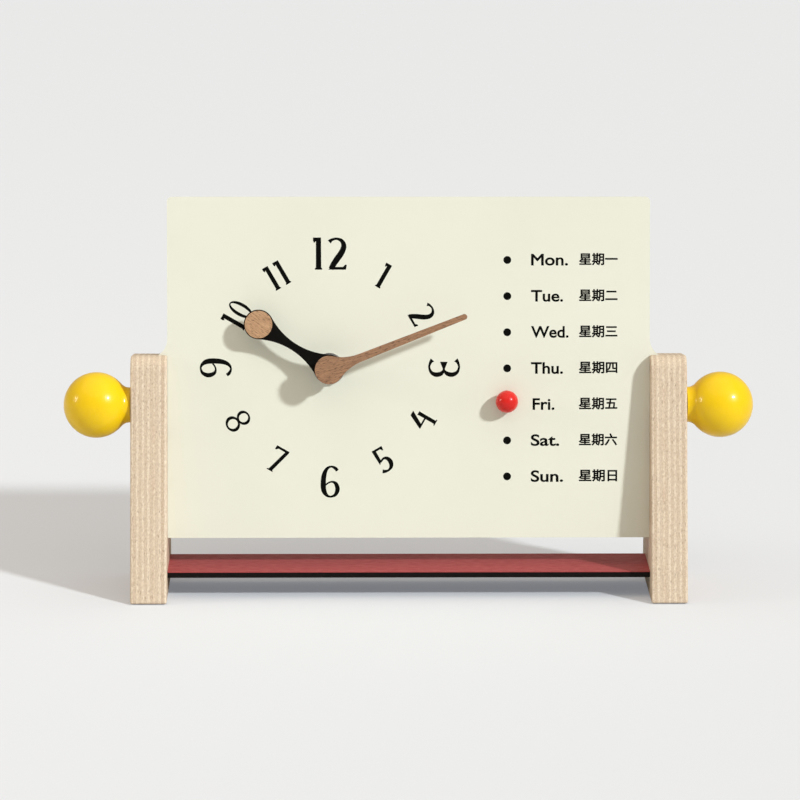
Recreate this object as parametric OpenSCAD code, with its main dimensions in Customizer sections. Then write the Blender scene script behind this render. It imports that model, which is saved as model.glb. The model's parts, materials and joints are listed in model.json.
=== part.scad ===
// Desk clock with a weekday column: a steel dial panel that stands in the grooves of
// two plywood legs, with a shelf between them, two ball knobs that clamp the panel,
// a quartz movement behind it and a magnetic ball that marks the day.
// Millimetres. X is to the right, Y to the back, Z up. The origin is on the table,
// under the middle of the legs.

/* [Legs] */
// Clear width between the two legs
leg_gap = 200; // [190:1:220]
// Thickness of the plywood
leg_t = 15; // [13:0.5:18]
// Depth of a leg along the table
leg_depth = 54; // [52:1:70]
// Distance from the table to the leg's top, along the panel
leg_len = 99.7; // [92:0.1:108]
// Lean of the leg's front edge from upright
leg_lean = 14; // [12:0.5:16]
// Rounding of the leg's top corners in side view
leg_top_round = 6; // [1:0.5:7]
// Rounding of the leg's bottom corners in side view
leg_foot_round = 0.8; // [0.4:0.1:1.5]
// Rounding of the leg's long edges
leg_edge = 0.8; // [0.4:0.1:1.2]

/* [Panel] */
// Lean of the panel from upright
panel_lean = 9; // [6:0.5:10]
// Distance from the leg's front foot to the panel's face, at table level
panel_setback = 15.7; // [15:0.1:19]
// Thickness of the sheet steel panel
panel_t = 1; // [0.8:0.1:1.5]
// Height of the panel
panel_h = 141.5; // [135:0.5:150]
// Height of the panel's lower edge over the table, along the panel
panel_foot = 23.8; // [20:0.1:26]
// How far each side of the panel's lower part reaches into its leg
wing_w = 7.2; // [6:0.1:7.4]
// Radius of the curve between the panel's side and its wing
shoulder_r = 8; // [7.6:0.1:9]
// How far the wing's top lies under the leg's top
shoulder_drop = 1.1; // [0.6:0.1:2]
// Corner rounding of the panel
panel_round = 2; // [1:0.5:4]
// Clearance between panel and groove, on each side
groove_gap = 0.3; // [0.2:0.05:0.5]

/* [Shelf] */
// Distance from the leg's front foot to the shelf's front edge
shelf_setback = 11.6; // [10:0.1:16]
// Depth of the shelf from front to back
shelf_depth = 30.5; // [26:0.5:34]
// Height of the shelf's underside over the table
shelf_height = 8.4; // [6:0.1:10]
// Thickness of the black shelf board
shelf_core_t = 2.2; // [2:0.1:4]
// Thickness of the red sheet on the board
shelf_sheet_t = 0.4; // [0.3:0.1:1]
// How far the shelf is let into each leg
shelf_tenon = 5; // [3:0.5:8]

/* [Feet] */
// Radius of a felt foot pad
foot_r = 4; // [3:0.5:5]
// Thickness of a felt foot pad
foot_t = 1; // [0.8:0.1:1.5]
// How far a pad stands out of the leg
foot_proud = 0.3; // [0.2:0.1:0.6]
// Distance from a leg's end to the middle of its pad
foot_inset = 8; // [6:0.5:12]

/* [Knobs] */
// Radius of the ball
knob_r = 13.6; // [10:0.1:15]
// Distance from the leg's outer face to the ball's middle
knob_reach = 14.4; // [14:0.1:18]
// Radius of the knob's neck
knob_neck_r = 7.3; // [5:0.1:7.5]
// Radius of the fillet between neck and ball
knob_fillet = 4.4; // [1:0.1:5]
// Distance from the leg's top down to the knob's axis, along the panel
knob_drop = 20.6; // [15:0.1:30]
// Gap between the tightened knob and the leg
knob_gap = 0.3; // [0.2:0.1:0.6]
// Radius of the clamp stud
stud_r = 2; // [1.5:0.25:2.5]
// Outer radius of the threaded insert in the leg
insert_r = 3.2; // [3:0.1:4]
// Length of the threaded insert
insert_len = 4.8; // [3.5:0.1:5.5]
// Length of the clamp shoe at the stud's tip
shoe_len = 1.2; // [0.8:0.1:1.5]

/* [Dial] */
// Distance from the panel's middle to the dial's middle, to the left
dial_x = 33; // [28:0.5:36]
// Height of the dial's middle over the table, along the panel
dial_z = 94.1; // [88:0.1:98]
// Height of the hour hand's face over the panel
hour_rise = 8; // [8:0.1:11]
// Height of the minute hand's face over the panel
minute_rise = 14; // [14:0.1:17]
// Thickness of the hour hand
hour_t = 0.9; // [0.6:0.1:1.2]
// Thickness of the wooden disc on the hour hand
disc_t = 0.5; // [0.3:0.1:0.8]
// Thickness of the minute hand
minute_t = 1; // [0.8:0.1:1.4]
// Distance from the dial's middle to the middle of the hour hand's tip
hour_len = 34.5; // [30:0.5:38]
// Radius of the hour hand's round ends
hour_end_r = 6.1; // [5:0.1:7]
// Width of the hour hand's waist
hour_waist = 3.1; // [3:0.1:6]
// Radius of the wooden disc
disc_r = 5.7; // [4:0.1:6]
// Length of the minute hand
minute_len = 61; // [55:0.5:64]
// Radius of the minute hand's round end
minute_hub_r = 5.85; // [5:0.05:7]
// Width of the minute hand's blade at its root
minute_root_w = 3.3; // [2.5:0.1:4]
// Width of the minute hand's blade at its tip
minute_tip_w = 2.3; // [1.5:0.1:3]
// Distance from the dial's middle to the root of the blade
minute_root = 14; // [12:0.5:18]
// Clock angle of the hour hand at rest
hour_angle = 302.6; // [0:0.2:360]
// Clock angle of the minute hand at rest
minute_angle = 68.6; // [0:0.2:360]

/* [Day marker] */
// Radius of the marker ball
marker_r = 4.65; // [3.5:0.05:6]
// Radius of the flat that faces the panel
marker_flat_r = 2.4; // [2.2:0.1:3]
// Gap between the marker and the panel
marker_gap = 0.1; // [0.05:0.05:0.3]
// Distance from the panel's middle to the weekday dots, to the right
marker_x = 40.6; // [36:0.1:44]
// Height of the first weekday dot over the table, along the panel
first_day_z = 139.1; // [130:0.1:145]
// Distance between two weekday dots
day_pitch = 14.97; // [13:0.01:15.5]
// Weekday that the marker shows, counted from 0
day = 4; // [0:1:6]
// How far the marker sits above the middle of its dot
marker_rise = 1.3; // [0:0.1:2]
// Radius of the magnet
magnet_r = 2; // [1.5:0.1:2.1]
// Thickness of the magnet
magnet_t = 1.5; // [1:0.1:2]

/* [Movement] */
// Side of the square movement case
case_w = 56; // [56:0.5:60]
// Depth of the movement case
case_d = 15.5; // [15.5:0.1:18]
// Wall of the movement case
case_wall = 1; // [0.8:0.1:1.5]
// Thickness of the rubber gasket
gasket_t = 0.5; // [0.4:0.1:1]
// Outer radius of the threaded bush
bush_r = 3.95; // [3.5:0.05:4.5]
// How far the bush stands in front of the panel
bush_rise = 5.5; // [4:0.1:7]
// Outer radius of the hour pipe
hour_pipe_r = 2.55; // [2.4:0.05:2.8]
// Radius of the minute arbor
arbor_r = 1.6; // [1.4:0.05:1.7]
// Radius of the minute arbor's rear pivot
pivot_r = 1; // [0.8:0.05:1.2]
// Running clearance of a shaft in its bore
run_gap = 0.06; // [0.03:0.01:0.09]
// Radius of the battery
battery_r = 7.25; // [7:0.05:7.3]
// Length of the battery without its nub
battery_len = 49.2; // [48:0.1:50]
// Radius of the setting knob
setter_r = 6.5; // [5:0.1:7]
// Thickness of the setting knob
setter_t = 3; // [2:0.1:4]
// Corner radius of the fixing nut
nut_r = 6.35; // [5.5:0.05:7]
// Thickness of the fixing nut
nut_t = 2.2; // [1.5:0.1:3]
// Radius of the fixing washer
washer_r = 6.5; // [6.5:0.1:8]
// Thickness of the fixing washer
washer_t = 0.6; // [0.4:0.1:1]
// Radius of the gasket
gasket_r = 9; // [7:0.1:12]

/* [Hidden] */

$fn = 64;
EPS = 0.01;

// Legs and panel
foot_tip = leg_foot_round / tan((90 - leg_lean) / 2) - leg_foot_round;
foot_front = -(leg_depth + foot_tip) / 2;
panel_y = foot_front + panel_setback;
inner_x = leg_gap / 2;
outer_x = inner_x + leg_t;
groove_depth = wing_w + groove_gap;
wing_top = leg_len - shoulder_drop;

// Knobs
knob_z = leg_len - knob_drop;
insert_start = outer_x - insert_len;
shoe_start = inner_x + groove_depth;
knob_core = 8;

// Clearances of holes round what they hold
thread_gap = 0.05;
hole_gap = 0.1;
panel_hole_gap = 0.15;
shoe_r = insert_r - hole_gap;

// Depths of the movement's layers behind the panel's face, and the room that each takes
layer_gap = 0.4;
hour_room = 1.7;
minute_room = 2.4;
centre_room = 2.2;
third_room = 1.8;
fourth_room = 1.6;
lid_gap = 0.1;
front_wall = 1.2;
cover_t = 1.2;
stator_t = 0.7;
case_front = panel_t + gasket_t;
case_back = case_front + case_d;
cover_front = case_back - cover_t;
hour_layer = case_front + front_wall + layer_gap;
minute_layer = hour_layer + hour_room;
centre_layer = minute_layer + minute_room;
third_layer = centre_layer + centre_room;
fourth_layer = third_layer + third_room;
fifth_layer = fourth_layer + fourth_room;
stator_layer = cover_front - lid_gap - stator_t;

// Thickness of wheels and pinions, and how far a pinion stands in front of its wheel's layer
wheel_t = 1;
centre_wheel_t = 0.8;
thin_wheel_t = 0.6;
pinion_t = 1;
pinion_over = 0.2;

// Depth of the arbors' seats in the cover, and their end play
pivot_seat = 0.6;
pivot_play = 0.1;

// Battery, seen from the front, and the room that it leaves for the wheels
battery_gap = 0.3;
nub_r = 2.75;
nub_len = 1.3;
contact_t = 0.4;
contact_w = 10;
contact_h = 8;
battery_z = -case_w / 2 + case_wall + battery_gap + battery_r;
battery_depth = case_front + front_wall + battery_gap + battery_r;
divider_t = 0.8;
divider_z = battery_z + battery_r + battery_gap;
wheel_room = -divider_z - divider_t;
centre_gap = 0.604;
hour_gap = 1.18;

// Teeth: height over and depth under the pitch circle, in modules, and half widths, in pitches
tooth_over = 0.8;
tooth_under = 1.15;
tooth_root_half = 0.31;
tooth_tip_half = 0.11;

// Gear train: meshing pairs share a module, and both pairs of the motion work one distance
minute_teeth = 12;
motion_teeth = 36;
motion_pinion = 12;
hour_teeth = 48;
setter_teeth = 12;
setter_ridges = 30;
centre_teeth = 64;
third_pinion = 8;
third_teeth = 60;
fourth_pinion = 8;
fourth_teeth = 60;
fifth_pinion = 10;
fifth_teeth = 50;
rotor_pinion = 10;
hour_module = (wheel_room - hour_gap) / (hour_teeth / 2 + tooth_over);
motion_module = hour_module * (motion_pinion + hour_teeth) / (minute_teeth + motion_teeth);
centre_module = (wheel_room - centre_gap) / (centre_teeth / 2 + tooth_over);
third_module = centre_module * 7 / 8;
fourth_module = centre_module * 11 / 16;
fifth_module = centre_module * 9 / 16;
mesh_slack = 0.12;

// Directions of the mesh lines, seen from the front, and the arbors they place
motion_dir = 35;
setter_dir = 20;
third_dir = 120;
fourth_dir = 190;
fifth_dir = 80;
rotor_dir = 90;
motion_tooth = gap_at(motion_teeth, motion_dir + 180);
motion_at = polar(mesh_distance(minute_teeth, motion_teeth, motion_module), motion_dir);
setter_at = motion_at + polar(mesh_distance(motion_teeth, setter_teeth, motion_module), setter_dir);
third_at = polar(mesh_distance(centre_teeth, third_pinion, centre_module), third_dir);
fourth_at = third_at + polar(mesh_distance(third_teeth, fourth_pinion, third_module), fourth_dir);
fifth_at = fourth_at + polar(mesh_distance(fourth_teeth, fifth_pinion, fourth_module), fifth_dir);
rotor_at = fifth_at + polar(mesh_distance(fifth_teeth, rotor_pinion, fifth_module), rotor_dir);
train_arbor_r = 0.4;
centre_hub_r = 2;
centre_hub_t = 2;
post_r = 1;
setter_stem_r = 1.5;
setter_gap = 0.4;

// Rotor, stator and coil
magnet_rotor_r = 2.6;
stator_hole_r = 3.2;
stator_w = 7;
stator_edge = 1.4;
stator_left = rotor_at[0] - stator_hole_r - stator_edge;
stator_right = 16;
coil_r = 2.4;
coil_len = 16;
coil_core_r = 1;
coil_end = 2;
coil_gap = 0.2;
coil_post_w = 1.6;
coil_post_h = 3;
coil_x = stator_right - coil_end - coil_len;
coil_depth = stator_layer - coil_gap - coil_r;

// Circuit board between the divider and the minute arbor's pivot, and its chip
board_w = 20;
board_t = 1;
board_x = -3;
board_seat = 0.6;
board_clear = 1.5;
board_z = divider_z + divider_t + board_seat;
board_h = -pivot_r - board_clear - board_z;
chip_w = 4;
chip_t = 0.8;
chip_x = 8;

// A point at a distance and direction
function polar(r, a) = [r * cos(a), r * sin(a)];

// Distance between the arbors of two wheels in mesh
function mesh_distance(a, b, m) = (a + b) * m / 2 + mesh_slack;

// Points of an arc about a centre, from one angle to another
function arc(centre, r, from, to, steps = 12) =
    [for (i = [0:steps]) centre + polar(r, from + (to - from) * i / steps)];

// Outline of a wheel with straight-sided teeth, one of them at the given angle
function tooth_ring(teeth, m, at) = let (pitch = 360 / teeth, r = teeth * m / 2)
    [for (i = [0:teeth - 1]) each let (a = at + i * pitch) [
        polar(r - tooth_under * m, a - tooth_root_half * pitch),
        polar(r + tooth_over * m, a - tooth_tip_half * pitch),
        polar(r + tooth_over * m, a + tooth_tip_half * pitch),
        polar(r - tooth_under * m, a + tooth_root_half * pitch)]];

// A gap of the wheel faces the direction, as its partner's tooth does
function gap_at(teeth, direction) = direction + 180 / teeth;

// The panel's own frame: X right, Z up along its face, Y into the movement
module on_panel() {
    translate([0, panel_y, 0]) rotate([-panel_lean, 0, 0]) children();
}

// The same frame with the dial's middle as its origin
module on_dial() {
    on_panel() translate([-dial_x, 0, dial_z]) children();
}

// A flat shape, upright as seen from the front, between two depths behind the face
module slab(from, thick) {
    translate([0, from + thick, 0]) rotate([90, 0, 0]) linear_extrude(thick) children();
}

// A round bar through the same depths, about a point of the dial
module bar(from, length, r, at = [0, 0]) {
    translate([at[0], from + length, at[1]]) rotate([90, 0, 0]) cylinder(h = length, r = r);
}

// A bar along X from one place to another
module cross_bar(from, to, r) {
    translate([from, 0, 0]) rotate([0, 90, 0]) cylinder(h = to - from, r = r);
}

module ring(r_out, r_in) {
    difference() {
        circle(r_out);
        circle(r_in);
    }
}

module wheel(teeth, m, at, tooth_dir, from, thick) {
    translate([at[0], 0, at[1]]) slab(from, thick) polygon(tooth_ring(teeth, m, tooth_dir));
}

// Side view of a leg: X is the distance behind its front foot, Y the height
module leg_side(inset) {
    top_dir = -panel_lean;
    face_z = leg_len / cos(panel_lean);
    top_at_panel = [panel_setback + leg_len * sin(panel_lean), leg_len * cos(panel_lean)];
    slope = tan(top_dir);
    front_top_z = (top_at_panel[1] - top_at_panel[0] * slope) / (1 - tan(leg_lean) * slope);
    front_top = [front_top_z * tan(leg_lean), front_top_z];
    back_top = [leg_depth, top_at_panel[1] + (leg_depth - top_at_panel[0]) * slope];
    corners = [[0, 0], [leg_depth, 0], back_top, front_top];
    rounds = [leg_foot_round, leg_foot_round, leg_top_round, leg_top_round];
    polygon([for (i = [0:3]) each
        round_corner(corners[(i + 3) % 4], corners[i], corners[(i + 1) % 4], rounds[i], inset)]);
}

// The arc that rounds corner b of a convex outline, drawn in by an inset
function round_corner(a, b, c, r, inset, steps = 8) = let (
    u = (a - b) / norm(a - b),
    v = (c - b) / norm(c - b),
    half = acos(u * v) / 2,
    bisector = (u + v) / norm(u + v),
    radius = max(r, inset + 0.05),
    centre = b + bisector * radius / sin(half),
    start = atan2(-v[0], v[1]),
    middle = atan2(-bisector[1], -bisector[0]),
    sweep = 90 - half
) arc(centre, radius - inset, middle - sweep, middle + sweep, steps);

// The right leg: a board with softened edges, its groove, shelf slot and bores
module leg() {
    difference() {
        hull() {
            for (i = [0:4]) {
                half = leg_t / 2 - leg_edge * (1 - sin(22.5 * i));
                translate([inner_x + leg_t / 2 - half, foot_front, 0])
                    rotate([90, 0, 90]) linear_extrude(2 * half) leg_side(leg_edge * (1 - cos(22.5 * i)));
            }
        }
        on_panel() translate([inner_x - 1, -groove_gap, panel_foot - EPS])
            cube([groove_depth + 1, panel_t + 2 * groove_gap, leg_len]);
        translate([inner_x - 1, foot_front + shelf_setback, shelf_height])
            cube([shelf_tenon + 1, shelf_depth, shelf_core_t + shelf_sheet_t]);
        clamp_axis() cross_bar(inner_x + groove_depth - EPS, outer_x + 1, insert_r);
        for (y = [foot_inset, leg_depth - foot_inset])
            translate([inner_x + leg_t / 2, foot_front + y, -1])
                cylinder(h = 1 + foot_t - foot_proud, r = foot_r);
    }
}

// The axis of the knobs, on the panel's middle plane
module clamp_axis() {
    on_panel() translate([0, panel_t / 2, knob_z]) children();
}

// Lifts the stand onto its foot pads
module on_feet() {
    translate([0, 0, foot_proud]) children();
}

module left_leg() { color("burlywood") on_feet() mirror([1, 0, 0]) leg(); }

module right_leg() { color("burlywood") on_feet() leg(); }

module shelf_slice(from, thick) {
    length = leg_gap + 2 * shelf_tenon;
    on_feet() translate([-length / 2, foot_front + shelf_setback, from]) cube([length, shelf_depth, thick]);
}

module shelf_board() { color("black") shelf_slice(shelf_height, shelf_core_t); }

module shelf_sheet() { color("firebrick") shelf_slice(shelf_height + shelf_core_t, shelf_sheet_t); }

module foot_pads() {
    color("dimgray") for (x = [-1, 1], y = [foot_inset, leg_depth - foot_inset])
        translate([x * (inner_x + leg_t / 2), foot_front + y, 0]) cylinder(h = foot_t, r = foot_r);
}

// Threaded sleeve pressed into the leg
module insert() {
    on_feet() clamp_axis() rotate([0, 90, 0]) translate([0, 0, insert_start])
        linear_extrude(insert_len) ring(insert_r, stud_r + run_gap);
}

module left_insert() { color("goldenrod") mirror([1, 0, 0]) insert(); }

module right_insert() { color("goldenrod") insert(); }

module clamp_shoe() { on_feet() clamp_axis() cross_bar(shoe_start, shoe_start + shoe_len, shoe_r); }

module left_clamp_shoe() { color("ivory") mirror([1, 0, 0]) clamp_shoe(); }

module right_clamp_shoe() { color("ivory") clamp_shoe(); }

module clamp_stud() {
    on_feet() clamp_axis() cross_bar(shoe_start + shoe_len, outer_x + knob_gap + knob_core, stud_r);
}

module left_clamp_stud() { color("silver") mirror([1, 0, 0]) clamp_stud(); }

module right_clamp_stud() { color("silver") clamp_stud(); }

// Turned ball with a short neck, bored for the stud
module ball_knob() {
    // The fillet starts past the neck's end face, whatever the ball's radius
    neck_room = pow(knob_reach - knob_gap, 2) - pow(knob_r, 2) + pow(knob_neck_r, 2);
    fillet_r = min(knob_fillet, neck_room / (2 * (knob_r - knob_neck_r)) - EPS);
    reach = sqrt(pow(knob_r + fillet_r, 2) - pow(knob_neck_r + fillet_r, 2));
    fillet_x = knob_reach - reach;
    lean = asin(reach / (knob_r + fillet_r));
    profile = concat(
        [[0, knob_gap], [knob_neck_r, knob_gap]],
        arc([knob_neck_r + fillet_r, fillet_x], fillet_r, 180, 180 - lean),
        arc([0, knob_reach], knob_r, -lean, 90, 40));
    on_feet() clamp_axis() translate([outer_x, 0, 0]) rotate([0, 90, 0]) difference() {
        rotate_extrude() polygon(profile);
        translate([0, 0, -1]) cylinder(h = 1 + knob_gap + knob_core, r = stud_r);
    }
}

module left_knob() { color("gold") mirror([1, 0, 0]) ball_knob(); }

module right_knob() { color("gold") ball_knob(); }

// Right half of the panel's outline
function panel_half() = let (
    top = panel_foot + panel_h,
    rise = sqrt(pow(shoulder_r, 2) - pow(shoulder_r - wing_w, 2)),
    turn = acos((shoulder_r - wing_w) / shoulder_r)
) concat(
    arc([inner_x + wing_w - panel_round / 2, panel_foot + panel_round / 2], panel_round / 2, -90, 0, 6),
    arc([inner_x + shoulder_r, wing_top + rise], shoulder_r, 180 + turn, 180, 16),
    arc([inner_x - panel_round, top - panel_round], panel_round, 0, 90, 8));

module dial_panel() {
    half = panel_half();
    count = len(half);
    color("beige") on_feet() on_panel() difference() {
        slab(0, panel_t)
            polygon(concat(half, [for (i = [1:count]) [-half[count - i][0], half[count - i][1]]]));
        bar(-1, panel_t + 2, bush_r + panel_hole_gap, [-dial_x, dial_z]);
    }
}

module on_marker() {
    on_feet() on_panel() translate([marker_x, -marker_gap, first_day_z - day * day_pitch + marker_rise])
        children();
}

module day_marker_ball() {
    middle = sqrt(pow(marker_r, 2) - pow(marker_flat_r, 2));
    color("red") on_marker() difference() {
        translate([0, -middle, 0]) sphere(marker_r);
        translate([-marker_r, 0, -marker_r]) cube(2 * marker_r);
        bar(-magnet_t, magnet_t + 1, magnet_r);
    }
}

module day_marker_magnet() { color("silver") on_marker() bar(-magnet_t, magnet_t, magnet_r); }

// Radius of the curve that leads from a round end to a straight edge
function flare(end_r, half_w, root) =
    (root * root + half_w * half_w - end_r * end_r) / (2 * (end_r - half_w));

// Right-hand edge of the minute hand, which points up
function minute_edge() = let (
    half_w = minute_root_w / 2,
    r = flare(minute_hub_r, half_w, minute_root),
    turn = atan2(minute_root, half_w + r)
) concat(
    arc([0, 0], minute_hub_r, -90, turn, 24),
    arc([half_w + r, minute_root], r, 180 + turn, 180, 12),
    arc([0, minute_len - minute_tip_w / 2], minute_tip_w / 2, 0, 90, 8));

// Right-hand edge of the hour hand, which points up
function hour_edge() = let (
    half_w = hour_waist / 2,
    r = flare(hour_end_r, half_w, hour_len / 2),
    turn = atan2(hour_len / 2, half_w + r)
) concat(
    arc([0, 0], hour_end_r, -90, turn, 24),
    arc([half_w + r, hour_len / 2], r, 180 + turn, 180 - turn, 16),
    arc([0, hour_len], hour_end_r, -turn, 90, 24));

// An outline from its right-hand edge
module mirrored(edge) {
    count = len(edge);
    polygon(concat(edge, [for (i = [1:count]) [-edge[count - i][0], edge[count - i][1]]]));
}

module hour_hand() {
    color("black") on_feet() on_dial() difference() {
        slab(-hour_rise, hour_t) rotate(-hour_angle) mirrored(hour_edge());
        bar(-hour_rise - 1, hour_t + 2, hour_pipe_r);
    }
}

module hour_hand_disc() {
    color("peru") on_feet() on_dial() slab(-hour_rise - disc_t, disc_t)
        rotate(-hour_angle) translate([0, hour_len]) circle(disc_r);
}

module minute_hand() {
    color("sienna") on_feet() on_dial() difference() {
        slab(-minute_rise, minute_t) rotate(-minute_angle) mirrored(minute_edge());
        bar(-minute_rise + minute_t / 2, minute_t, arbor_r);
    }
}

module fixing_nut() {
    color("goldenrod") on_feet() on_dial() difference() {
        slab(-washer_t - nut_t, nut_t) circle(nut_r, $fn = 6);
        bar(-washer_t - nut_t - 1, nut_t + 2, bush_r + thread_gap);
    }
}

module fixing_washer() {
    color("goldenrod") on_feet() on_dial() slab(-washer_t, washer_t) ring(washer_r, bush_r + hole_gap);
}

module threaded_bush() {
    color("goldenrod") on_feet() on_dial()
        slab(-bush_rise, bush_rise + case_front + front_wall) ring(bush_r, hour_pipe_r + run_gap);
}

module gasket() {
    color("black") on_feet() on_dial() slab(panel_t, gasket_t) ring(gasket_r, bush_r + hole_gap);
}

// Square movement case, open at the back
module movement_case() {
    inner = case_w - 2 * case_wall;
    color("dimgray") on_feet() on_dial() {
        difference() {
            slab(case_front, case_d) square(case_w, center = true);
            slab(case_front + front_wall, case_d) square(inner, center = true);
            bar(case_front - 1, front_wall + 2, bush_r);
            for (at = [third_at, fourth_at, fifth_at, rotor_at])
                bar(case_front + front_wall / 2, front_wall, train_arbor_r + run_gap, at);
        }
        translate([-inner / 2 - EPS, 0, 0])
            slab(case_front + front_wall - EPS, cover_front - case_front - front_wall - lid_gap)
                translate([0, divider_z]) square([inner + 2 * EPS, divider_t]);
        bar(case_front + front_wall - EPS, minute_layer + wheel_t + layer_gap - case_front - front_wall,
            post_r, motion_at);
    }
}

// Lid over the gear train; the battery bay stays open
module movement_cover() {
    inner = case_w - 2 * case_wall - 2 * lid_gap;
    color("black") on_feet() on_dial() difference() {
        translate([-inner / 2, 0, 0]) slab(cover_front, cover_t)
            translate([0, divider_z]) square([inner, inner / 2 - divider_z]);
        bar(cover_front - 1, 1 + pivot_seat, pivot_r + run_gap);
        bar(cover_front - 1, cover_t + 2, setter_stem_r + run_gap, setter_at);
        for (at = [third_at, fourth_at, fifth_at, rotor_at])
            bar(cover_front - 1, 1 + pivot_seat, train_arbor_r + run_gap, at);
    }
}

module circuit_board() {
    color("darkgreen") on_feet() on_dial() {
        translate([board_x, 0, board_z]) {
            slab(cover_front - lid_gap - board_t, board_t) square([board_w, board_h]);
            slab(cover_front - lid_gap - board_t - chip_t, chip_t + EPS)
                translate([chip_x, (board_h - chip_w) / 2]) square(chip_w);
        }
    }
}

module drive_coil() {
    color("chocolate") on_feet() on_dial() translate([0, coil_depth, rotor_at[1]])
        rotate([0, 90, 0]) translate([0, 0, coil_x]) linear_extrude(coil_len) ring(coil_r, coil_core_r);
}

// Stator plate round the rotor, with the coil's core between two posts
module stator() {
    color("silver") on_feet() on_dial() {
        difference() {
            slab(stator_layer, stator_t) translate([stator_left, rotor_at[1] - stator_w / 2])
                square([stator_right - stator_left, stator_w]);
            bar(stator_layer - 1, stator_t + 2, stator_hole_r, rotor_at);
        }
        for (x = [coil_x - coil_post_w, coil_x + coil_len])
            translate([x, coil_depth - coil_core_r, rotor_at[1] - coil_post_h / 2])
                cube([coil_post_w, stator_layer + EPS - coil_depth + coil_core_r, coil_post_h]);
        translate([0, coil_depth, rotor_at[1]]) cross_bar(coil_x - EPS, coil_x + coil_len + EPS, coil_core_r);
    }
}

// A train arbor from the case to the cover
module train_arbor(at) {
    from = case_front + front_wall / 2 + pivot_play;
    bar(from, cover_front + pivot_seat - pivot_play - from, train_arbor_r, at);
}

module rotor() {
    color("slategray") on_feet() on_dial() {
        train_arbor(rotor_at);
        wheel(rotor_pinion, fifth_module, rotor_at, gap_at(rotor_pinion, rotor_dir + 180),
            fifth_layer - pinion_over, pinion_t);
        bar(stator_layer - pinion_over, stator_t + pinion_over, magnet_rotor_r, rotor_at);
    }
}

module fifth_wheel() {
    color("khaki") on_feet() on_dial() {
        train_arbor(fifth_at);
        wheel(fifth_teeth, fifth_module, fifth_at, rotor_dir, fifth_layer, thin_wheel_t);
        wheel(fifth_pinion, fourth_module, fifth_at, gap_at(fifth_pinion, fifth_dir + 180),
            fourth_layer - pinion_over, pinion_t);
    }
}

module fourth_wheel() {
    color("khaki") on_feet() on_dial() {
        train_arbor(fourth_at);
        wheel(fourth_teeth, fourth_module, fourth_at, fifth_dir, fourth_layer, thin_wheel_t);
        wheel(fourth_pinion, third_module, fourth_at, gap_at(fourth_pinion, fourth_dir + 180),
            third_layer - pinion_over, pinion_t);
    }
}

module third_wheel() {
    color("khaki") on_feet() on_dial() {
        train_arbor(third_at);
        wheel(third_teeth, third_module, third_at, fourth_dir, third_layer, thin_wheel_t);
        wheel(third_pinion, centre_module, third_at, gap_at(third_pinion, third_dir + 180),
            centre_layer - pinion_over, pinion_t + pinion_over);
    }
}

// Wheel that carries the minute arbor by friction
module centre_wheel() {
    color("khaki") on_feet() on_dial() difference() {
        union() {
            wheel(centre_teeth, centre_module, [0, 0], third_dir, centre_layer, centre_wheel_t);
            bar(centre_layer, centre_hub_t, centre_hub_r);
        }
        bar(centre_layer - 1, centre_hub_t + 2, pivot_r + run_gap);
    }
}

module minute_arbor() {
    front = -minute_rise + minute_t / 2;
    step = minute_layer + wheel_t + layer_gap;
    color("goldenrod") on_feet() on_dial() {
        bar(front, step - front, arbor_r);
        bar(step - EPS, cover_front + pivot_seat - pivot_play - step, pivot_r);
        wheel(minute_teeth, motion_module, [0, 0], motion_dir, minute_layer, wheel_t);
    }
}

module motion_wheel() {
    color("ivory") on_feet() on_dial() difference() {
        union() {
            wheel(motion_teeth, motion_module, motion_at, motion_tooth, minute_layer, wheel_t);
            wheel(motion_pinion, hour_module, motion_at, motion_dir + 180, hour_layer, hour_room + EPS);
        }
        bar(hour_layer - 1, hour_room + wheel_t + 2, post_r + run_gap, motion_at);
    }
}

// Hour wheel and the pipe that carries the hour hand
module hour_wheel() {
    color("goldenrod") on_feet() on_dial() difference() {
        union() {
            wheel(hour_teeth, hour_module, [0, 0], gap_at(hour_teeth, motion_dir), hour_layer, wheel_t);
            bar(-hour_rise, hour_rise + hour_layer + EPS, hour_pipe_r);
        }
        bar(-hour_rise - 1, hour_rise + hour_layer + wheel_t + 2, arbor_r + run_gap);
    }
}

// Knob on the back that turns the hands
module setting_knob() {
    from = minute_layer - pinion_over;
    knob_front = case_back + setter_gap;
    tooth = gap_at(setter_teeth, setter_dir + 180)
        + (setter_dir - motion_tooth) * motion_teeth / setter_teeth;
    ridge_module = setter_r / (setter_ridges / 2 + tooth_over);
    color("dimgray") on_feet() on_dial() {
        bar(from, knob_front - from, setter_stem_r, setter_at);
        wheel(setter_teeth, motion_module, setter_at, tooth, minute_layer, wheel_t);
        wheel(setter_ridges, ridge_module, setter_at, 0, knob_front - EPS, setter_t);
    }
}

module battery() {
    color("darkolivegreen") on_feet() on_dial() translate([0, battery_depth, battery_z]) {
        cross_bar(-battery_len / 2 - nub_len / 2, battery_len / 2 - nub_len / 2, battery_r);
        cross_bar(battery_len / 2 - nub_len / 2 - EPS, battery_len / 2 + nub_len / 2, nub_r);
    }
}

// Spring plate with a boss that reaches to the battery's end
module contact(side) {
    wall_x = case_w / 2 - case_wall;
    end_x = battery_len / 2 + nub_len / 2 + battery_gap;
    on_feet() on_dial() translate([0, battery_depth, battery_z]) mirror([side < 0 ? 1 : 0, 0, 0]) {
        translate([wall_x - contact_t, -contact_h / 2, -contact_w / 2])
            cube([contact_t, contact_h, contact_w]);
        cross_bar(end_x, wall_x - contact_t + EPS, nub_r);
    }
}

module positive_contact() { color("silver") contact(1); }

module negative_contact() { color("silver") contact(-1); }

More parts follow.
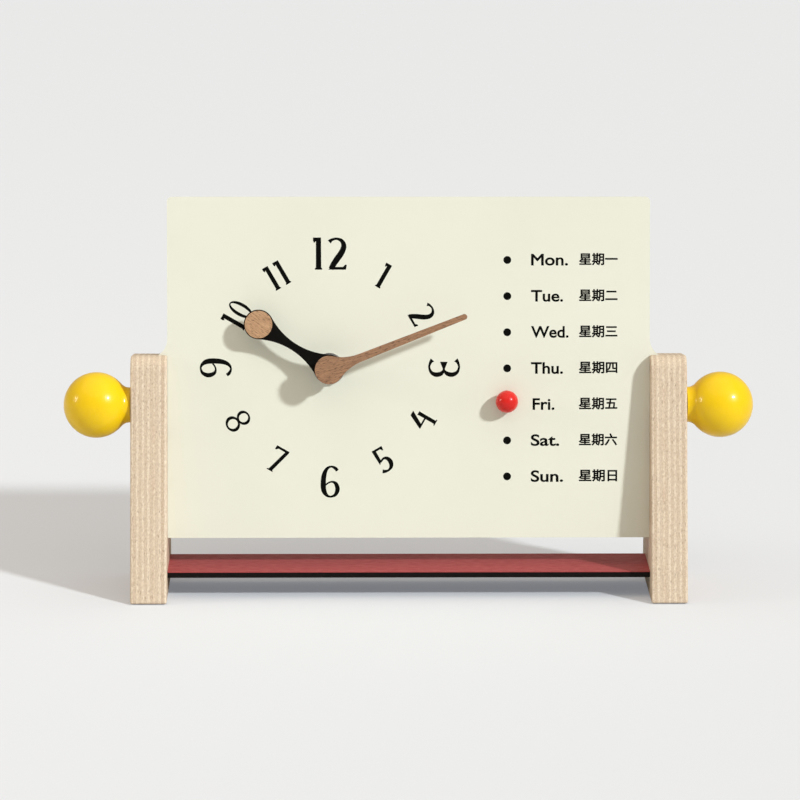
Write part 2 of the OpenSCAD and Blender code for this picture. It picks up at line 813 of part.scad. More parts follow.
left_leg();
right_leg();
shelf_board();
shelf_sheet();
foot_pads();
left_insert();
right_insert();
left_clamp_shoe();
right_clamp_shoe();
left_clamp_stud();
right_clamp_stud();
left_knob();
right_knob();
dial_panel();
day_marker_ball();
day_marker_magnet();
hour_hand();
hour_hand_disc();
minute_hand();
fixing_nut();
fixing_washer();
threaded_bush();
gasket();
movement_case();
movement_cover();
circuit_board();
drive_coil();
stator();
rotor();
fifth_wheel();
fourth_wheel();
third_wheel();
centre_wheel();
minute_arbor();
motion_wheel();
hour_wheel();
setting_knob();
battery();
positive_contact();
negative_contact();
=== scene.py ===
import json
import math

import bmesh
import bpy
from mathutils import Matrix, Vector
from mathutils.geometry import delaunay_2d_cdt


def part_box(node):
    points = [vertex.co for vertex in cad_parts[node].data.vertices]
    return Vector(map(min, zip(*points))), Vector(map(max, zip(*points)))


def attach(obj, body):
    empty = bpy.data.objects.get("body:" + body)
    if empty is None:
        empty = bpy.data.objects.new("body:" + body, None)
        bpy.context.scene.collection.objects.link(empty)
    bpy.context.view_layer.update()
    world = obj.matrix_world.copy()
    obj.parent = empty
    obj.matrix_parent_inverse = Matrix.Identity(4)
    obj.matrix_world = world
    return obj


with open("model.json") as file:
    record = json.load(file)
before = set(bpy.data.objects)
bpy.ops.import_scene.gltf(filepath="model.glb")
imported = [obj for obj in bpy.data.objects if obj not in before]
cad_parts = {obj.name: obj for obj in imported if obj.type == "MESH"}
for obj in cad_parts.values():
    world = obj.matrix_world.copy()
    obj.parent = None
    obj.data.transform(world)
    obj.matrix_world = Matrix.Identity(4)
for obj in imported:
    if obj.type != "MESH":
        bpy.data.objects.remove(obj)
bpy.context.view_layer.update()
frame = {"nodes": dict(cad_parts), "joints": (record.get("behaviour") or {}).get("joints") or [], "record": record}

# Looks of a desk clock with a weekday column: finishes, printing, light and camera.
# Metres, in the model's own frame: X right, Y back, Z up.
MM = 0.001
joints = {joint["name"]: joint for joint in frame["joints"]}
slots = {part["node"]: part["material_slot"] for part in frame["record"]["subparts"]}

# The panel's own directions and the dial's middle on its face
up = Vector(joints["panel_lift"]["axis"]).normalized()
into = Vector(joints["minute_hand_turn"]["axis"]).normalized()
right = Vector((1, 0, 0))
dial_middle = Vector(joints["minute_hand_turn"]["pos_m"])


def on_face(x, z, turn=0.0):
    """Placement on the panel's face, x and z from the dial's middle, turned counterclockwise."""
    place = Matrix((right, up, -into)).transposed().to_4x4()
    place.translation = dial_middle + right * x + up * z
    return place @ Matrix.Rotation(turn, 4, "Z")


def middle_of(node):
    low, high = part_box(node)
    return (low + high) / 2


# ---- Materials -------------------------------------------------------------------------

# The span that holds nearly all values of a noise
NOISE_SPAN = (0.3, 0.7)
COAT_ROUGHNESS = 0.06


class Shader:
    """A Principled material whose nodes are made by short calls."""

    def __init__(self, name, roughness=0.5, metallic=0.0, coat=0.0, sheen=0.0, specular=0.25):
        self.material = bpy.data.materials.new(name)
        self.material.use_nodes = True
        self.tree = self.material.node_tree
        self.surface = self.tree.nodes["Principled BSDF"]
        self.surface.inputs["Roughness"].default_value = roughness
        self.surface.inputs["Metallic"].default_value = metallic
        self.surface.inputs["Coat Weight"].default_value = coat
        self.surface.inputs["Coat Roughness"].default_value = COAT_ROUGHNESS
        self.surface.inputs["Sheen Weight"].default_value = sheen
        self.surface.inputs["Specular IOR Level"].default_value = specular
        self.place = self.node("ShaderNodeTexCoord").outputs["Object"]

    def node(self, kind, **settings):
        made = self.tree.nodes.new(kind)
        for key, value in settings.items():
            setattr(made, key, value)
        return made

    def put(self, socket, value):
        if isinstance(value, bpy.types.NodeSocket):
            self.tree.links.new(value, socket)
        else:
            socket.default_value = value

    def math(self, operation, *values):
        made = self.node("ShaderNodeMath", operation=operation)
        for socket, value in zip(made.inputs, values):
            self.put(socket, value)
        return made.outputs[0]

    def along(self, direction, origin=(0, 0, 0)):
        """Distance of a point from the origin, along a direction."""
        offset = self.node("ShaderNodeVectorMath", operation="SUBTRACT")
        self.put(offset.inputs[0], self.place)
        offset.inputs[1].default_value = origin
        made = self.node("ShaderNodeVectorMath", operation="DOT_PRODUCT")
        self.put(made.inputs[0], offset.outputs[0])
        made.inputs[1].default_value = direction
        return made.outputs["Value"]

    def axes(self, x, y, z):
        made = self.node("ShaderNodeCombineXYZ")
        for socket, value in zip(made.inputs, (x, y, z)):
            self.put(socket, value)
        return made.outputs[0]

    def scaled(self, factors):
        made = self.node("ShaderNodeVectorMath", operation="MULTIPLY")
        self.put(made.inputs[0], self.place)
        made.inputs[1].default_value = factors
        return made.outputs[0]

    def noise(self, scale, detail=4.0, vector=None, rough=0.5):
        made = self.node("ShaderNodeTexNoise")
        made.inputs["Scale"].default_value = scale
        made.inputs["Detail"].default_value = detail
        made.inputs["Roughness"].default_value = rough
        self.put(made.inputs["Vector"], self.place if vector is None else vector)
        return made.outputs["Fac"]

    def span(self, value, low, high, to_low=0.0, to_high=1.0):
        made = self.node("ShaderNodeMapRange")
        ends = {"From Min": low, "From Max": high, "To Min": to_low, "To Max": to_high}
        for name, number in ends.items():
            made.inputs[name].default_value = number
        self.put(made.inputs["Value"], value)
        return made.outputs["Result"]

    def mix(self, share, first, second):
        made = self.node("ShaderNodeMix", data_type="RGBA")
        self.put(made.inputs["Factor"], share)
        for name, colour in (("A", first), ("B", second)):
            socket = next(s for s in made.inputs if s.name == name and s.type == "RGBA")
            self.put(socket, colour if isinstance(colour, bpy.types.NodeSocket) else (*colour, 1))
        return next(s for s in made.outputs if s.type == "RGBA")

    def drift(self, noise, first, second):
        """A colour that wanders between two with a noise."""
        return self.mix(self.span(noise, *NOISE_SPAN), first, second)

    def paint(self, colour, roughness=None, height=None, depth=0.0):
        socket = self.surface.inputs["Base Color"]
        self.put(socket, colour if isinstance(colour, bpy.types.NodeSocket) else (*colour, 1))
        if roughness is not None:
            self.put(self.surface.inputs["Roughness"], roughness)
        if height is not None:
            bump = self.node("ShaderNodeBump")
            bump.inputs["Strength"].default_value = 1.0
            bump.inputs["Distance"].default_value = depth
            self.put(bump.inputs["Height"], height)
            self.put(self.surface.inputs["Normal"], bump.outputs["Normal"])
        return self.material


PLIES = 13


def plywood():
    """Birch plywood: layers across the leg's thickness, alternately long grain and end grain."""
    s = Shader("plywood", roughness=0.55)
    low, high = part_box("right_leg")
    thick = high.x - low.x
    across = s.math("SUBTRACT", s.math("ABSOLUTE", s.along((1, 0, 0))), low.x)
    layer = s.math("MULTIPLY", across, PLIES / thick)
    waviness = s.span(s.noise(60, 2, s.scaled((0.3, 0.3, 0.5))), *NOISE_SPAN, -0.12, 0.12)
    layer = s.math("ADD", layer, waviness)
    number = s.math("FLOOR", layer)
    odd = s.math("MODULO", s.math("ABSOLUTE", number), 2.0)
    tone = s.node("ShaderNodeTexWhiteNoise", noise_dimensions="1D")
    s.put(tone.inputs["W"], number)
    long_grain = s.noise(420, 5, s.scaled((6.0, 6.0, 0.12)), 0.6)
    broad_grain = s.noise(90, 3, s.scaled((5.0, 5.0, 0.16)))
    end_grain = s.noise(2600, 3, s.scaled((1.0, 1.0, 0.55)), 0.7)
    speckle = s.noise(1900, 2, s.scaled((1.0, 1.0, 0.5)), 0.6)
    streak = s.noise(300, 2, s.scaled((6.0, 6.0, 0.22)), 0.5)
    pale = s.mix(s.span(long_grain, 0.35, 0.68), (0.79, 0.67, 0.52), (0.62, 0.47, 0.33))
    pale = s.mix(s.span(broad_grain, 0.55, 0.75, 0.0, 0.45), pale, (0.55, 0.35, 0.25))
    cut = s.drift(end_grain, (0.70, 0.56, 0.41), (0.50, 0.36, 0.25))
    wood = s.mix(odd, pale, cut)
    wood = s.mix(s.span(tone.outputs["Value"], 0.0, 1.0, 0.0, 0.35), wood, (0.84, 0.73, 0.58))
    edge = s.math("ABSOLUTE", s.math("SUBTRACT", s.math("FRACT", layer), 0.5))
    glue = s.span(edge, 0.42, 0.5, 0.0, 0.35)
    wood = s.mix(glue, wood, (0.42, 0.25, 0.16))
    wood = s.mix(s.span(speckle, 0.42, 0.66, 0.0, 0.42), wood, (0.43, 0.30, 0.21))
    wood = s.mix(s.span(streak, 0.62, 0.72, 0.0, 0.55), wood, (0.26, 0.16, 0.11))
    return s.paint(wood, s.span(long_grain, *NOISE_SPAN, 0.48, 0.66), long_grain, 0.06 * MM)


def veneer(name, pale, dark, fleck, grain, origin):
    """Veneer with fine dark flecks along the grain."""
    s = Shader(name, roughness=0.5)
    lengthwise = s.along(grain, origin)
    widthwise = s.along(grain.cross(into), origin)
    stretched = s.axes(s.math("MULTIPLY", lengthwise, 0.09), widthwise, 0.0)
    fine = s.noise(1500, 4, stretched, 0.65)
    flecks = s.noise(2100, 2, s.axes(s.math("MULTIPLY", lengthwise, 0.24), widthwise, 0.0), 0.5)
    wood = s.mix(s.span(fine, 0.36, 0.64), pale, dark)
    wood = s.mix(s.span(flecks, 0.54, 0.66, 0.0, 0.75), wood, fleck)
    return s.paint(wood, s.span(fine, *NOISE_SPAN, 0.42, 0.6), flecks, -0.04 * MM)


def lacquer(name, colour, shade):
    """Gloss lacquer with the slight waviness of a sprayed coat."""
    s = Shader(name, roughness=0.3, coat=0.3, specular=0.2)
    return s.paint(s.drift(s.noise(70, 3), colour, shade), None, s.noise(420, 3), 0.03 * MM)


def powder_coat(name, colour, shade):
    """Satin powder coat on sheet steel."""
    s = Shader(name, roughness=0.55, specular=0.2)
    rough = s.span(s.noise(300, 3), *NOISE_SPAN, 0.5, 0.62)
    return s.paint(s.drift(s.noise(14, 3), colour, shade), rough, s.noise(2400, 3), 0.012 * MM)


def laminate(name, colour, shade):
    """Matt laminate with a faint grain along the shelf."""
    s = Shader(name, roughness=0.45, specular=0.1)
    grain = s.noise(900, 4, s.scaled((0.25, 1.0, 1.0)))
    rough = s.span(grain, *NOISE_SPAN, 0.38, 0.52)
    return s.paint(s.drift(grain, colour, shade), rough, grain, 0.02 * MM)


def moulded(name, colour, shade, rough=0.5, specular=0.25):
    """Moulded plastic with a fine spark-eroded texture."""
    s = Shader(name, roughness=rough, specular=specular)
    return s.paint(s.drift(s.noise(110, 3), colour, shade), None, s.noise(2600, 2), 0.02 * MM)


def turned_metal(name, colour, shade, rough=0.3):
    """Metal with fine marks of the tool."""
    s = Shader(name, roughness=rough, metallic=1.0)
    marks = s.noise(3000, 3, s.scaled((1.0, 0.08, 1.0)))
    worn = s.span(marks, *NOISE_SPAN, rough * 0.8, rough * 1.3)
    return s.paint(s.drift(marks, colour, shade), worn)


def felt():
    """Dark pressed felt."""
    s = Shader("felt", roughness=0.95, sheen=0.4)
    fibre = s.noise(2200, 5)
    colour = s.drift(fibre, (0.03, 0.03, 0.03), (0.09, 0.09, 0.09))
    return s.paint(colour, None, fibre, 0.2 * MM)


def cell_sleeve():
    """Plain sleeve of a battery: a broad dark band and a metal-coloured end."""
    s = Shader("cell", roughness=0.35, metallic=0.3)
    low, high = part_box("battery")
    share = s.span(s.along((1, 0, 0)), low.x, high.x)
    band = s.math("GREATER_THAN", share, 0.72)
    scuff = s.noise(240, 4)
    colour = s.mix(band, (0.045, 0.07, 0.05), (0.52, 0.36, 0.16))
    colour = s.mix(s.span(scuff, 0.5, 0.8, 0.0, 0.25), colour, (0.3, 0.3, 0.28))
    return s.paint(colour, None, scuff, 0.01 * MM)


def ink():
    """Screen-printed black."""
    s = Shader("ink", roughness=0.6, specular=0.03)
    cloud = s.noise(900, 3)
    colour = s.drift(cloud, (0.002, 0.002, 0.002), (0.005, 0.005, 0.004))
    return s.paint(colour, None, cloud, 0.005 * MM)


def grain_of(node):
    """Direction of a hand's grain: from the dial's middle to the node's, in the panel's plane."""
    offset = middle_of(node) - dial_middle
    return (offset - into * offset.dot(into)).normalized()


FINISHES = {
    "plywood": plywood(),
    "shelf_black": laminate("shelf_black", (0.004, 0.003, 0.003), (0.009, 0.006, 0.006)),
    "shelf_red": laminate("shelf_red", (0.43, 0.078, 0.078), (0.35, 0.060, 0.062)),
    "felt": felt(),
    "brass": turned_metal("brass", (0.72, 0.52, 0.24), (0.60, 0.42, 0.18), 0.32),
    "nylon": moulded("nylon", (0.80, 0.78, 0.70), (0.74, 0.71, 0.62)),
    "steel": turned_metal("steel", (0.58, 0.58, 0.58), (0.48, 0.48, 0.49)),
    "knob_yellow": lacquer("knob_yellow", (0.90, 0.59, 0.005), (0.84, 0.53, 0.004)),
    "panel_cream": powder_coat("panel_cream", (0.767, 0.755, 0.645), (0.737, 0.727, 0.613)),
    "marker_red": lacquer("marker_red", (0.72, 0.018, 0.012), (0.60, 0.012, 0.010)),
    "magnet": turned_metal("magnet", (0.60, 0.60, 0.61), (0.52, 0.52, 0.53), 0.2),
    "hand_black": moulded("hand_black", (0.003, 0.0025, 0.002), (0.007, 0.006, 0.005), 0.6, 0.04),
    "hand_oak": veneer("hand_oak", (0.56, 0.34, 0.19), (0.38, 0.21, 0.11), (0.15, 0.08, 0.05),
                       grain_of("hour_hand_disc"), middle_of("hour_hand_disc")),
    "hand_walnut": veneer("hand_walnut", (0.38, 0.205, 0.115), (0.25, 0.13, 0.07),
                          (0.08, 0.045, 0.03), grain_of("minute_hand"), dial_middle),
    "rubber": moulded("rubber", (0.02, 0.02, 0.02), (0.03, 0.03, 0.03), 0.8),
    "case_black": moulded("case_black", (0.018, 0.018, 0.020), (0.030, 0.030, 0.032), 0.45),
    "board_green": moulded("board_green", (0.01, 0.10, 0.04), (0.015, 0.13, 0.05), 0.35),
    "copper": turned_metal("copper", (0.72, 0.30, 0.14), (0.55, 0.20, 0.09), 0.35),
    "gear_plastic": moulded("gear_plastic", (0.80, 0.76, 0.62), (0.74, 0.69, 0.54), 0.4),
    "cell": cell_sleeve(),
}
INK = ink()

for node, piece in frame["nodes"].items():
    piece.data.materials.clear()
    piece.data.materials.append(FINISHES[slots[node]])


# ---- Printing on the panel --------------------------------------------------------------

INK_THICK = 0.03 * MM
DOT_SIDES = 48
LETTER_STEPS = 8
WELD = 1e-5 * MM


def as_piece(name, mesh, placement):
    """A printed mesh, placed on the panel and riding with it."""
    mesh.transform(placement)
    piece = bpy.data.objects.new(name, mesh)
    bpy.context.scene.collection.objects.link(piece)
    piece.data.materials.clear()
    piece.data.materials.append(INK)
    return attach(piece, "panel")


def lettering(name, text, width, height, weight, placement, centred=False):
    """Words as thin solids, fitted to a width and a height and set from their left or middle."""
    data = bpy.data.curves.new(name, "FONT")
    data.body = text
    data.size = 1.0
    data.extrude = 0.5
    data.bevel_depth = weight
    data.bevel_resolution = 0
    data.resolution_u = LETTER_STEPS
    draft = bpy.data.objects.new(name + "_draft", data)
    bpy.context.scene.collection.objects.link(draft)
    bpy.context.view_layer.update()
    evaluated = draft.evaluated_get(bpy.context.evaluated_depsgraph_get())
    mesh = bpy.data.meshes.new_from_object(evaluated)
    bpy.data.objects.remove(draft)
    xs = [v.co.x for v in mesh.vertices]
    ys = [v.co.y for v in mesh.vertices]
    scale = (width / (max(xs) - min(xs)), height / (max(ys) - min(ys)), INK_THICK, 1)
    base = Vector((min(xs), 0, 0))
    if centred:
        base = Vector(((min(xs) + max(xs)) / 2, (min(ys) + max(ys)) / 2, 0))
    mesh.transform(Matrix.Diagonal(scale) @ Matrix.Translation(-base))
    welded = bmesh.new()
    welded.from_mesh(mesh)
    bmesh.ops.remove_doubles(welded, verts=welded.verts, dist=WELD)
    welded.to_mesh(mesh)
    welded.free()
    return as_piece(name, mesh, placement)


def dot(name, radius, placement):
    """A round printed dot."""
    made = bmesh.new()
    bmesh.ops.create_cone(made, cap_ends=True, segments=DOT_SIDES, radius1=radius, radius2=radius,
                          depth=INK_THICK)
    mesh = bpy.data.meshes.new(name)
    made.to_mesh(mesh)
    made.free()
    return as_piece(name, mesh, placement)


# Narrow serif digits, one unit high. A stroke is a list of (x, y, width) that a smooth line
# joins, a shape is a straight-sided outline, and an oval is what oval() takes.
ZERO = {"ovals": [(0.25, 0.5, 0.25, 0.5, 0.125, 0.055)]}
ONE = {"shapes": [[(0.0, 1.0), (0.25, 1.0), (0.255, 0.07), (0.285, 0.035), (0.285, 0.0),
                   (0.055, 0.0), (0.055, 0.035), (0.09, 0.07), (0.09, 0.89), (0.035, 0.83),
                   (0.0, 0.9)]]}
TWO = {"strokes": [[(0.03, 0.86, 0.14), (0.1, 0.925, 0.09), (0.26, 0.962, 0.075),
                    (0.42, 0.89, 0.12), (0.48, 0.73, 0.165), (0.41, 0.53, 0.185),
                    (0.27, 0.33, 0.19), (0.15, 0.15, 0.175), (0.08, 0.02, 0.15)]],
       "shapes": [[(0.0, 0.0), (0.55, 0.0), (0.575, 0.15), (0.52, 0.155), (0.46, 0.085),
                   (0.08, 0.085)]]}
THREE = {"strokes": [[(0.03, 0.865, 0.14), (0.11, 0.925, 0.09), (0.26, 0.965, 0.065),
                      (0.42, 0.9, 0.1), (0.49, 0.755, 0.14), (0.46, 0.6, 0.13), (0.36, 0.49, 0.07)],
                     [(0.03, 0.135, 0.14), (0.11, 0.075, 0.09), (0.26, 0.035, 0.065),
                      (0.42, 0.1, 0.1), (0.49, 0.245, 0.14), (0.46, 0.4, 0.13),
                      (0.36, 0.49, 0.07)]],
         "shapes": [[(0.09, 0.61), (0.09, 0.37), (0.3, 0.455), (0.42, 0.45), (0.42, 0.53),
                     (0.3, 0.525)]]}
FOUR = {"strokes": [[(0.0, 0.45, 0.07), (0.44, 0.45, 0.07)]],
        "shapes": [[(0.26, 1.0), (0.47, 1.0), (0.165, 0.46), (-0.02, 0.42)],
                   [(0.40, 0.78), (0.59, 0.78), (0.565, 0.73), (0.565, 0.055), (0.62, 0.035),
                    (0.62, 0.0), (0.36, 0.0), (0.36, 0.035), (0.42, 0.055), (0.42, 0.73)]]}
FIVE = {"strokes": [[(0.15, 0.47, 0.07), (0.32, 0.535, 0.09), (0.45, 0.46, 0.14),
                     (0.49, 0.29, 0.175), (0.42, 0.12, 0.14), (0.27, 0.045, 0.085),
                     (0.12, 0.07, 0.12), (0.035, 0.12, 0.15)]],
        "shapes": [[(0.05, 1.0), (0.49, 1.0), (0.475, 0.82), (0.43, 0.83), (0.38, 0.91),
                    (0.195, 0.91), (0.195, 0.5), (0.07, 0.37)]]}
SIX = {"strokes": [[(0.525, 0.84, 0.1), (0.46, 0.92, 0.1), (0.33, 0.97, 0.06), (0.2, 0.9, 0.1),
                    (0.115, 0.72, 0.145), (0.085, 0.45, 0.165), (0.105, 0.22, 0.155),
                    (0.19, 0.08, 0.1), (0.31, 0.03, 0.06), (0.46, 0.09, 0.1), (0.53, 0.26, 0.14),
                    (0.48, 0.43, 0.115), (0.37, 0.495, 0.06), (0.25, 0.465, 0.05),
                    (0.14, 0.38, 0.05)]]}
SEVEN = {"shapes": [[(0.0, 1.0), (0.555, 1.0), (0.555, 0.93), (0.32, 0.055), (0.355, 0.035),
                     (0.355, 0.0), (0.1, 0.0), (0.1, 0.035), (0.165, 0.055), (0.41, 0.905),
                     (0.12, 0.905), (0.045, 0.83), (0.0, 0.83)]]}
EIGHT = {"ovals": [(0.31, 0.75, 0.285, 0.25, 0.115, 0.07), (0.31, 0.27, 0.31, 0.27, 0.125, 0.075)]}
NINE = dict(SIX, turned=True)
DIGITS = (ZERO, ONE, TWO, THREE, FOUR, FIVE, SIX, SEVEN, EIGHT, NINE)
# The nine is the six turned half round within this width
SIX_WIDTH = 0.6
DIGIT_GAP = 0.17
STROKE_STEPS = 7
OVAL_STEPS = 48
# For the union: the triangulation's output inside its faces, the distance at which points
# merge, and the turn in radians under which an edge counts as straight
INSIDE, MERGE, STRAIGHT = 1, 1e-5, 0.001


def smooth(points):
    """Points of a Catmull-Rom line through the given ones."""
    ends = [points[0], *points, points[-1]]
    line = []
    for quartet in zip(ends, ends[1:], ends[2:], ends[3:]):
        for i in range(STROKE_STEPS):
            t = i / STROKE_STEPS
            line.append([0.5 * (2 * q + (r - p) * t + (2 * p - 5 * q + 4 * r - s) * t ** 2
                                + (3 * q - p - 3 * r + s) * t ** 3)
                         for p, q, r, s in zip(*quartet)])
    return line + [list(points[-1])]


def band(inner, outer):
    """Quads between two rows of points."""
    return [[inner[i], inner[i + 1], outer[i + 1], outer[i]] for i in range(len(inner) - 1)]


def stroke(points):
    """Quads along a line whose width varies."""
    line = smooth(points) if len(points) > 2 else points
    sides = ([], [])
    for i, (x, y, width) in enumerate(line):
        before, after = line[max(i - 1, 0)], line[min(i + 1, len(line) - 1)]
        dx, dy = after[0] - before[0], after[1] - before[1]
        length = math.hypot(dx, dy)
        for side, sign in zip(sides, (1, -1)):
            side.append((x - sign * dy / length * width / 2, y + sign * dx / length * width / 2))
    return band(*sides)


def oval(x, y, half_w, half_h, thick, thin):
    """An oval ring, thick at its sides and thin at its top and bottom."""
    turns = [2 * math.pi * i / OVAL_STEPS for i in range(OVAL_STEPS + 1)]
    outer = [(x + half_w * math.cos(t), y + half_h * math.sin(t)) for t in turns]
    inner = [(x + (half_w - thick) * math.cos(t), y + (half_h - thin) * math.sin(t)) for t in turns]
    return band(inner, outer)


def digit_faces(digit):
    """Flat faces of one digit, which may overlap."""
    faces = [list(shape) for shape in digit.get("shapes", ())]
    for points in digit.get("strokes", ()):
        faces += stroke(points)
    for ring in digit.get("ovals", ()):
        faces += oval(*ring)
    if digit.get("turned"):
        faces = [[(SIX_WIDTH - x, 1 - y) for x, y in face] for face in faces]
    return faces


def number_faces(text):
    """Faces of a number, its digits side by side."""
    faces, start = [], 0.0
    for character in text:
        digit = digit_faces(DIGITS[int(character)])
        low = min(x for face in digit for x, _ in face)
        high = max(x for face in digit for x, _ in face)
        faces += [[(x - low + start, y) for x, y in face] for face in digit]
        start += high - low + DIGIT_GAP
    return faces


def union_mesh(name, faces):
    """One closed solid, one unit thick, over the union of flat faces."""
    points, loops = [], []
    for face in faces:
        # The triangulation takes only counterclockwise faces
        doubled_area = sum(a[0] * b[1] - b[0] * a[1] for a, b in zip(face, [*face[1:], face[0]]))
        loops.append(list(range(len(points), len(points) + len(face))))
        points += [Vector(p) for p in (face if doubled_area > 0 else face[::-1])]
    flat_points, _, triangles, _, _, sources = delaunay_2d_cdt(points, [], loops, INSIDE, MERGE)
    made = bmesh.new()
    corners = [made.verts.new((*p, -0.5)) for p in flat_points]
    for triangle, covering in zip(triangles, sources):
        if covering:  # none in a hole, such as a ring's
            made.faces.new([corners[i] for i in triangle])
    bmesh.ops.delete(made, geom=[v for v in made.verts if not v.link_faces], context="VERTS")
    bmesh.ops.dissolve_limit(made, angle_limit=STRAIGHT, verts=made.verts[:], edges=made.edges[:])
    raised = bmesh.ops.extrude_face_region(made, geom=made.faces[:])
    raised_verts = [v for v in raised["geom"] if isinstance(v, bmesh.types.BMVert)]
    bmesh.ops.translate(made, vec=(0, 0, 1), verts=raised_verts)
    bmesh.ops.recalc_face_normals(made, faces=made.faces[:])
    mesh = bpy.data.meshes.new(name)
    made.to_mesh(mesh)
    made.free()
    return mesh


# The numerals' ring: its middle from the hands', and radius and height of large and small ones
RING_X, RING_Z = 0.4 * MM, 0.35 * MM
LARGE_RING, SMALL_RING = 47.3 * MM, 44.1 * MM
LARGE_HEIGHT, SMALL_HEIGHT = 13.3 * MM, 10.7 * MM
for hour in range(1, 13):
    angle = math.radians(30 * hour)
    large, turned_in = hour % 3 == 0, 4 <= hour <= 8
    ring_r, height = (LARGE_RING, LARGE_HEIGHT) if large else (SMALL_RING, SMALL_HEIGHT)
    mesh = union_mesh(f"numeral_{hour}", number_faces(str(hour)))
    xs = [v.co.x for v in mesh.vertices]
    mesh.transform(Matrix.Diagonal((height, height, INK_THICK, 1))
                   @ Matrix.Translation((-(min(xs) + max(xs)) / 2, -0.5, 0)))
    as_piece(f"numeral_{hour}", mesh,
             on_face(RING_X + ring_r * math.sin(angle), RING_Z + ring_r * math.cos(angle),
                     (math.pi if turned_in else 0.0) - angle))

# Weekday column: each day's word, its inset and width in millimetres, and its second word.
# The dots follow the marker's place and step; MARKED is the day it stands on at rest.
DAYS = (("Mon.", 0.0, 15.3, "星期一"), ("Tue.", 0.0, 13.3, "星期二"),
        ("Wed.", 0.0, 15.6, "星期三"), ("Thu.", 0.0, 13.3, "星期四"),
        ("Fri.", 0.7, 9.1, "星期五"), ("Sat.", 0.0, 11.8, "星期六"),
        ("Sun.", 0.0, 13.4, "星期日"))
MARKED = 4
DOT_R = 1.63 * MM
DOT_ASIDE = 0.25 * MM
WORD_FROM_DOT = 10.1 * MM
SECOND_FROM_DOT = 29.9 * MM
CAP_HEIGHT = 4.9 * MM
SECOND_HEIGHT = 5.2 * MM
SECOND_WIDTH = 16.1 * MM
WORD_RISE = 0.3 * MM
WORD_WEIGHT, SECOND_WEIGHT = 0.022, 0.028
MARKER_RISE = 1.3 * MM
step = -joints["marker_slide"]["range_m"][0] / (len(DAYS) - 1 - MARKED)
marker = middle_of("day_marker_ball") - dial_middle
column_x, marked_z = marker.dot(right), marker.dot(up) - MARKER_RISE
for index, (word, inset, width, second) in enumerate(DAYS):
    z = marked_z + (MARKED - index) * step
    short = word[:3].lower()
    dot(f"dot_{short}", DOT_R, on_face(column_x + DOT_ASIDE, z))
    word_left = on_face(column_x + WORD_FROM_DOT + inset * MM, z + WORD_RISE - CAP_HEIGHT / 2)
    lettering(f"weekday_{short}", word, width * MM, CAP_HEIGHT, WORD_WEIGHT, word_left)
    second_middle = on_face(column_x + SECOND_FROM_DOT + SECOND_WIDTH / 2, z + WORD_RISE)
    lettering(f"weekday_{short}_second", second, SECOND_WIDTH, SECOND_HEIGHT, SECOND_WEIGHT,
              second_middle, centred=True)


# ---- Floor, light and camera ------------------------------------------------------------

FLOOR_COLOUR = (0.607, 0.604, 0.611, 1)
FLOOR_GLOW = (0.16, 0.17, 0.19, 1)
COOL, WARM = (0.905, 0.967, 1.0), (1.0, 0.935, 0.826)
WORLD_COLOUR = (0.79, 0.74, 0.654, 1)
WORLD_STRENGTH = 0.52
LAMP_TARGET = Vector((0, 0, 80)) * MM
LAMP_DISTANCE = 1.5


def floor():
    """A pale floor that keeps shadows. Its glow is seen by the camera and lights nothing."""
    half = 12.0
    corners = [(-half, -half, 0), (half, -half, 0), (half, half, 0), (-half, half, 0)]
    mesh = bpy.data.meshes.new("floor")
    mesh.from_pydata(corners, [], [(0, 1, 2, 3)])
    piece = bpy.data.objects.new("floor", mesh)
    bpy.context.scene.collection.objects.link(piece)
    material = bpy.data.materials.new("floor")
    material.use_nodes = True
    nodes, links = material.node_tree.nodes, material.node_tree.links
    nodes.clear()
    diffuse = nodes.new("ShaderNodeBsdfDiffuse")
    diffuse.inputs["Color"].default_value = FLOOR_COLOUR
    glow = nodes.new("ShaderNodeEmission")
    glow.inputs["Color"].default_value = FLOOR_GLOW
    seen = nodes.new("ShaderNodeLightPath")
    links.new(seen.outputs["Is Camera Ray"], glow.inputs["Strength"])
    both = nodes.new("ShaderNodeAddShader")
    out = nodes.new("ShaderNodeOutputMaterial")
    links.new(diffuse.outputs[0], both.inputs[0])
    links.new(glow.outputs[0], both.inputs[1])
    links.new(both.outputs[0], out.inputs["Surface"])
    mesh.materials.append(material)


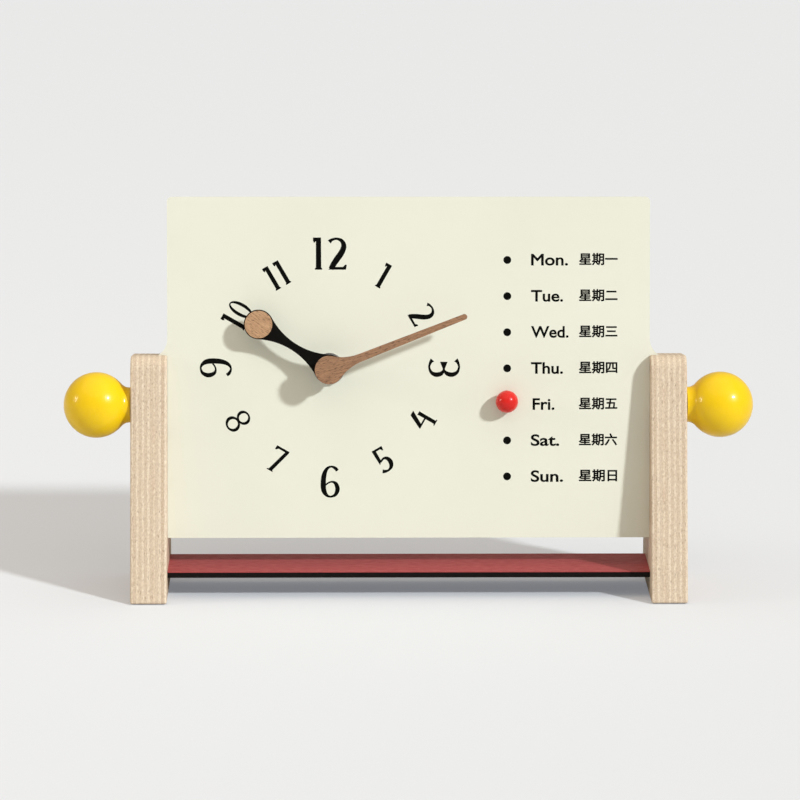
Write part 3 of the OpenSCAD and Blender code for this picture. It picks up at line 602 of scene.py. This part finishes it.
def lamp(name, kind, towards, strength, colour, **settings):
    """A lamp that shines along a direction, through the middle of the clock."""
    data = bpy.data.lights.new(name, kind)
    data.energy = strength
    data.color = colour
    for key, value in settings.items():
        setattr(data, key, value)
    made = bpy.data.objects.new(name, data)
    direction = Vector(towards).normalized()
    made.rotation_mode = "QUATERNION"
    made.rotation_quaternion = direction.to_track_quat("-Z", "Y")
    made.location = LAMP_TARGET - direction * LAMP_DISTANCE
    bpy.context.scene.collection.objects.link(made)


floor()
lamp("key", "SUN", (-1.234, 1.0, -0.957), 2.89, COOL, angle=math.radians(4.5))
lamp("overhead", "SUN", (0.05, 0.15, -1.0), 0.74, WARM, angle=math.radians(80))
lamp("left_fill", "AREA", (0.95, 0.14, -0.29), 3.7, WARM, size=0.28)

world = bpy.data.worlds.new("studio")
bpy.context.scene.world = world
world.use_nodes = True
background = world.node_tree.nodes["Background"]
background.inputs["Color"].default_value = WORLD_COLOUR
background.inputs["Strength"].default_value = WORLD_STRENGTH

# Camera: the fit to the photograph's edges, aimed at a point over the legs' front feet
IMAGE_SIZE = 800
FOCAL_PX = 4242.66
SENSOR = 36.0
PITCH, YAW, ROLL = (math.radians(a) for a in (11.877, 0.854, 0.118))
DISTANCE = 1738 * MM
AIM = Vector((0, -27.12, 50.3)) * MM
AIM_RIGHT, AIM_UP = 3.956 * MM, -35.246 * MM


def camera():
    """The camera, turned by the fitted yaw, pitch and roll."""
    flat = math.cos(PITCH)
    ahead = Vector((math.sin(YAW) * flat, math.cos(YAW) * flat, -math.sin(PITCH)))
    level = Vector((math.cos(YAW), -math.sin(YAW), 0))
    above = level.cross(ahead)
    side = level * math.cos(ROLL) + above * math.sin(ROLL)
    top = above * math.cos(ROLL) - level * math.sin(ROLL)
    data = bpy.data.cameras.new("camera")
    data.sensor_width = SENSOR
    data.lens = FOCAL_PX * SENSOR / IMAGE_SIZE
    made = bpy.data.objects.new("camera", data)
    placement = Matrix((side, top, -ahead)).transposed().to_4x4()
    placement.translation = AIM - ahead * DISTANCE - side * AIM_RIGHT - top * AIM_UP
    made.matrix_world = placement
    bpy.context.scene.collection.objects.link(made)
    bpy.context.scene.camera = made


camera()
bpy.context.scene.view_settings.view_transform = "Standard"
